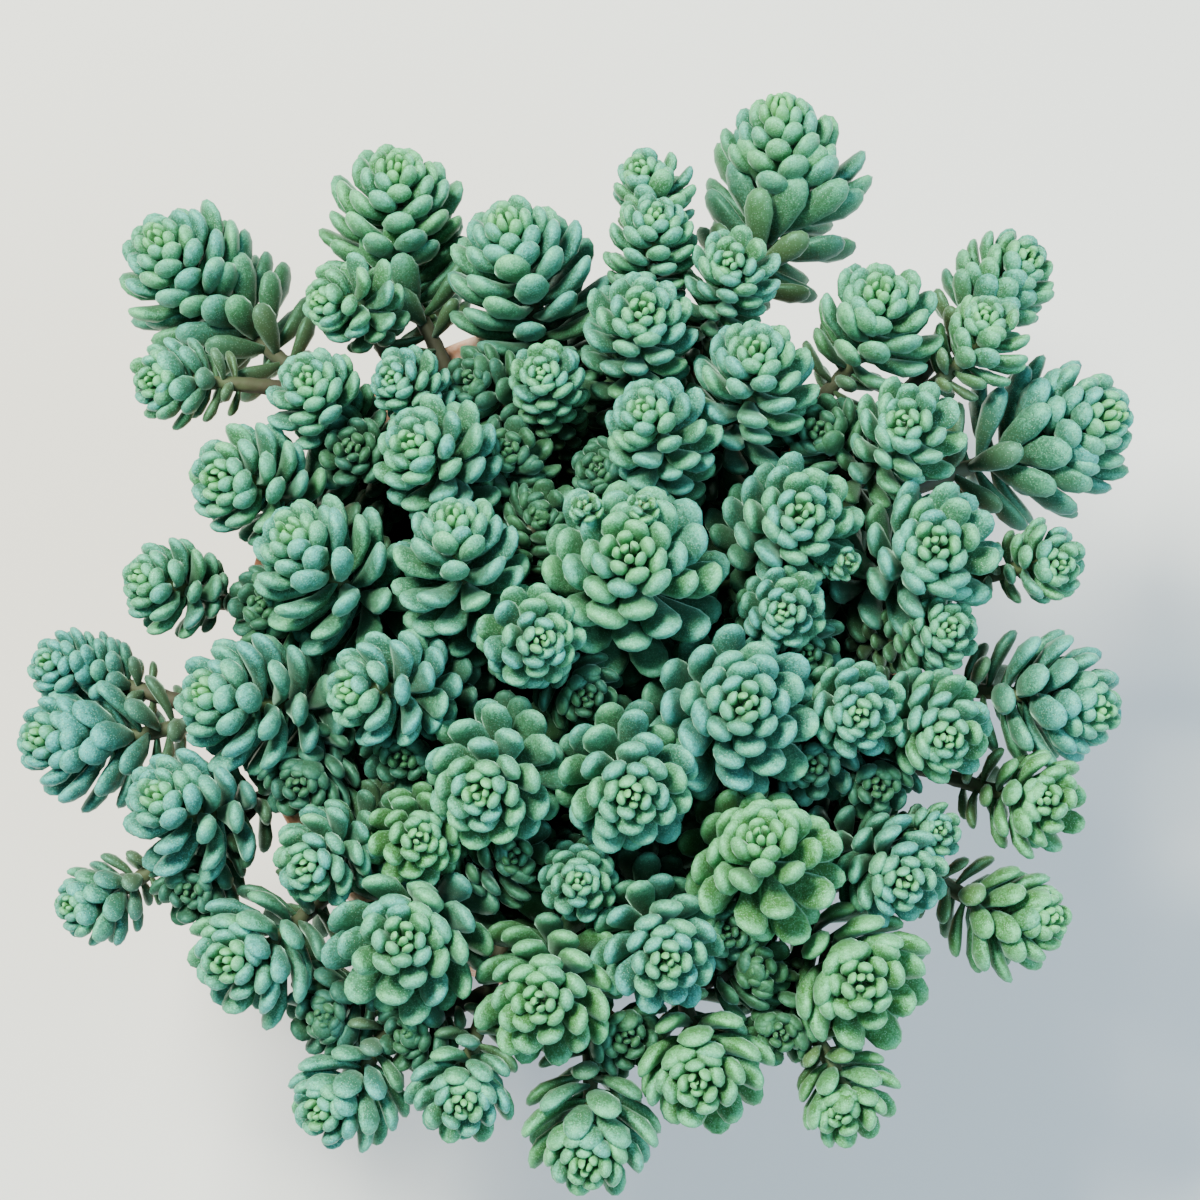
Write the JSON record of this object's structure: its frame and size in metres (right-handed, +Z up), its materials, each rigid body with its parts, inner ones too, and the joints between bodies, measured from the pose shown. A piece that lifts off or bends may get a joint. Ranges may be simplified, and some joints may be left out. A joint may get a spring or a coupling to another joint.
{
  "type": "potted stonecrop",
  "caption": "Low cushion of plump blue-green leaf rosettes on thin stems, growing in soil in a small round clay pot.",
  "frame": {"origin": "middle of the whole object's box seen from above, at the height the pot stands on", "axes": "+Z up, -Y towards the viewer of the lower edge of the cushion, +X to that viewer's right"},
  "size_m": [0.1158, 0.1171, 0.0906],
  "materials": {
    "leaf": "matte",
    "soil": "rough",
    "clay": "rough"
  },
  "bodies": {
    "root": {"leafy_stem_01": "leaf", "leafy_stem_03": "leaf", "leafy_stem_04": "leaf", "leafy_stem_05": "leaf", "leafy_stem_06": "leaf", "leafy_stem_08": "leaf", "leafy_stem_09": "leaf", "leafy_stem_10": "leaf", "leafy_stem_11": "leaf", "leafy_stem_12": "leaf", "leafy_stem_13": "leaf", "leafy_stem_15": "leaf", "leafy_stem_16": "leaf", "leafy_stem_17": "leaf", "leafy_stem_18": "leaf", "leafy_stem_19": "leaf", "leafy_stem_20": "leaf", "leafy_stem_21": "leaf", "leafy_stem_22": "leaf", "leafy_stem_23": "leaf", "leafy_stem_24": "leaf", "leafy_stem_25": "leaf", "leafy_stem_26": "leaf", "leafy_stem_27": "leaf", "leafy_stem_28": "leaf", "leafy_stem_29": "leaf", "leafy_stem_30": "leaf", "leafy_stem_31": "leaf", "leafy_stem_32": "leaf", "leafy_stem_33": "leaf", "leafy_stem_34": "leaf", "leafy_stem_35": "leaf", "leafy_stem_36": "leaf", "leafy_stem_37": "leaf", "leafy_stem_38": "leaf", "leafy_stem_39": "leaf", "leafy_stem_40": "leaf", "leafy_stem_42": "leaf", "leafy_stem_43": "leaf", "leafy_stem_45": "leaf", "leafy_stem_46": "leaf", "leafy_stem_47": "leaf", "leafy_stem_48": "leaf", "leafy_stem_49": "leaf", "leafy_stem_50": "leaf", "leafy_stem_52": "leaf", "leafy_stem_53": "leaf", "leafy_stem_54": "leaf", "leafy_stem_55": "leaf", "leafy_stem_56": "leaf", "leafy_stem_57": "leaf", "leafy_stem_58": "leaf", "leafy_stem_59": "leaf", "leafy_stem_60": "leaf", "leafy_stem_61": "leaf", "leafy_stem_62": "leaf", "pot": "clay", "soil": "soil"}
  },
  "joints": []
}
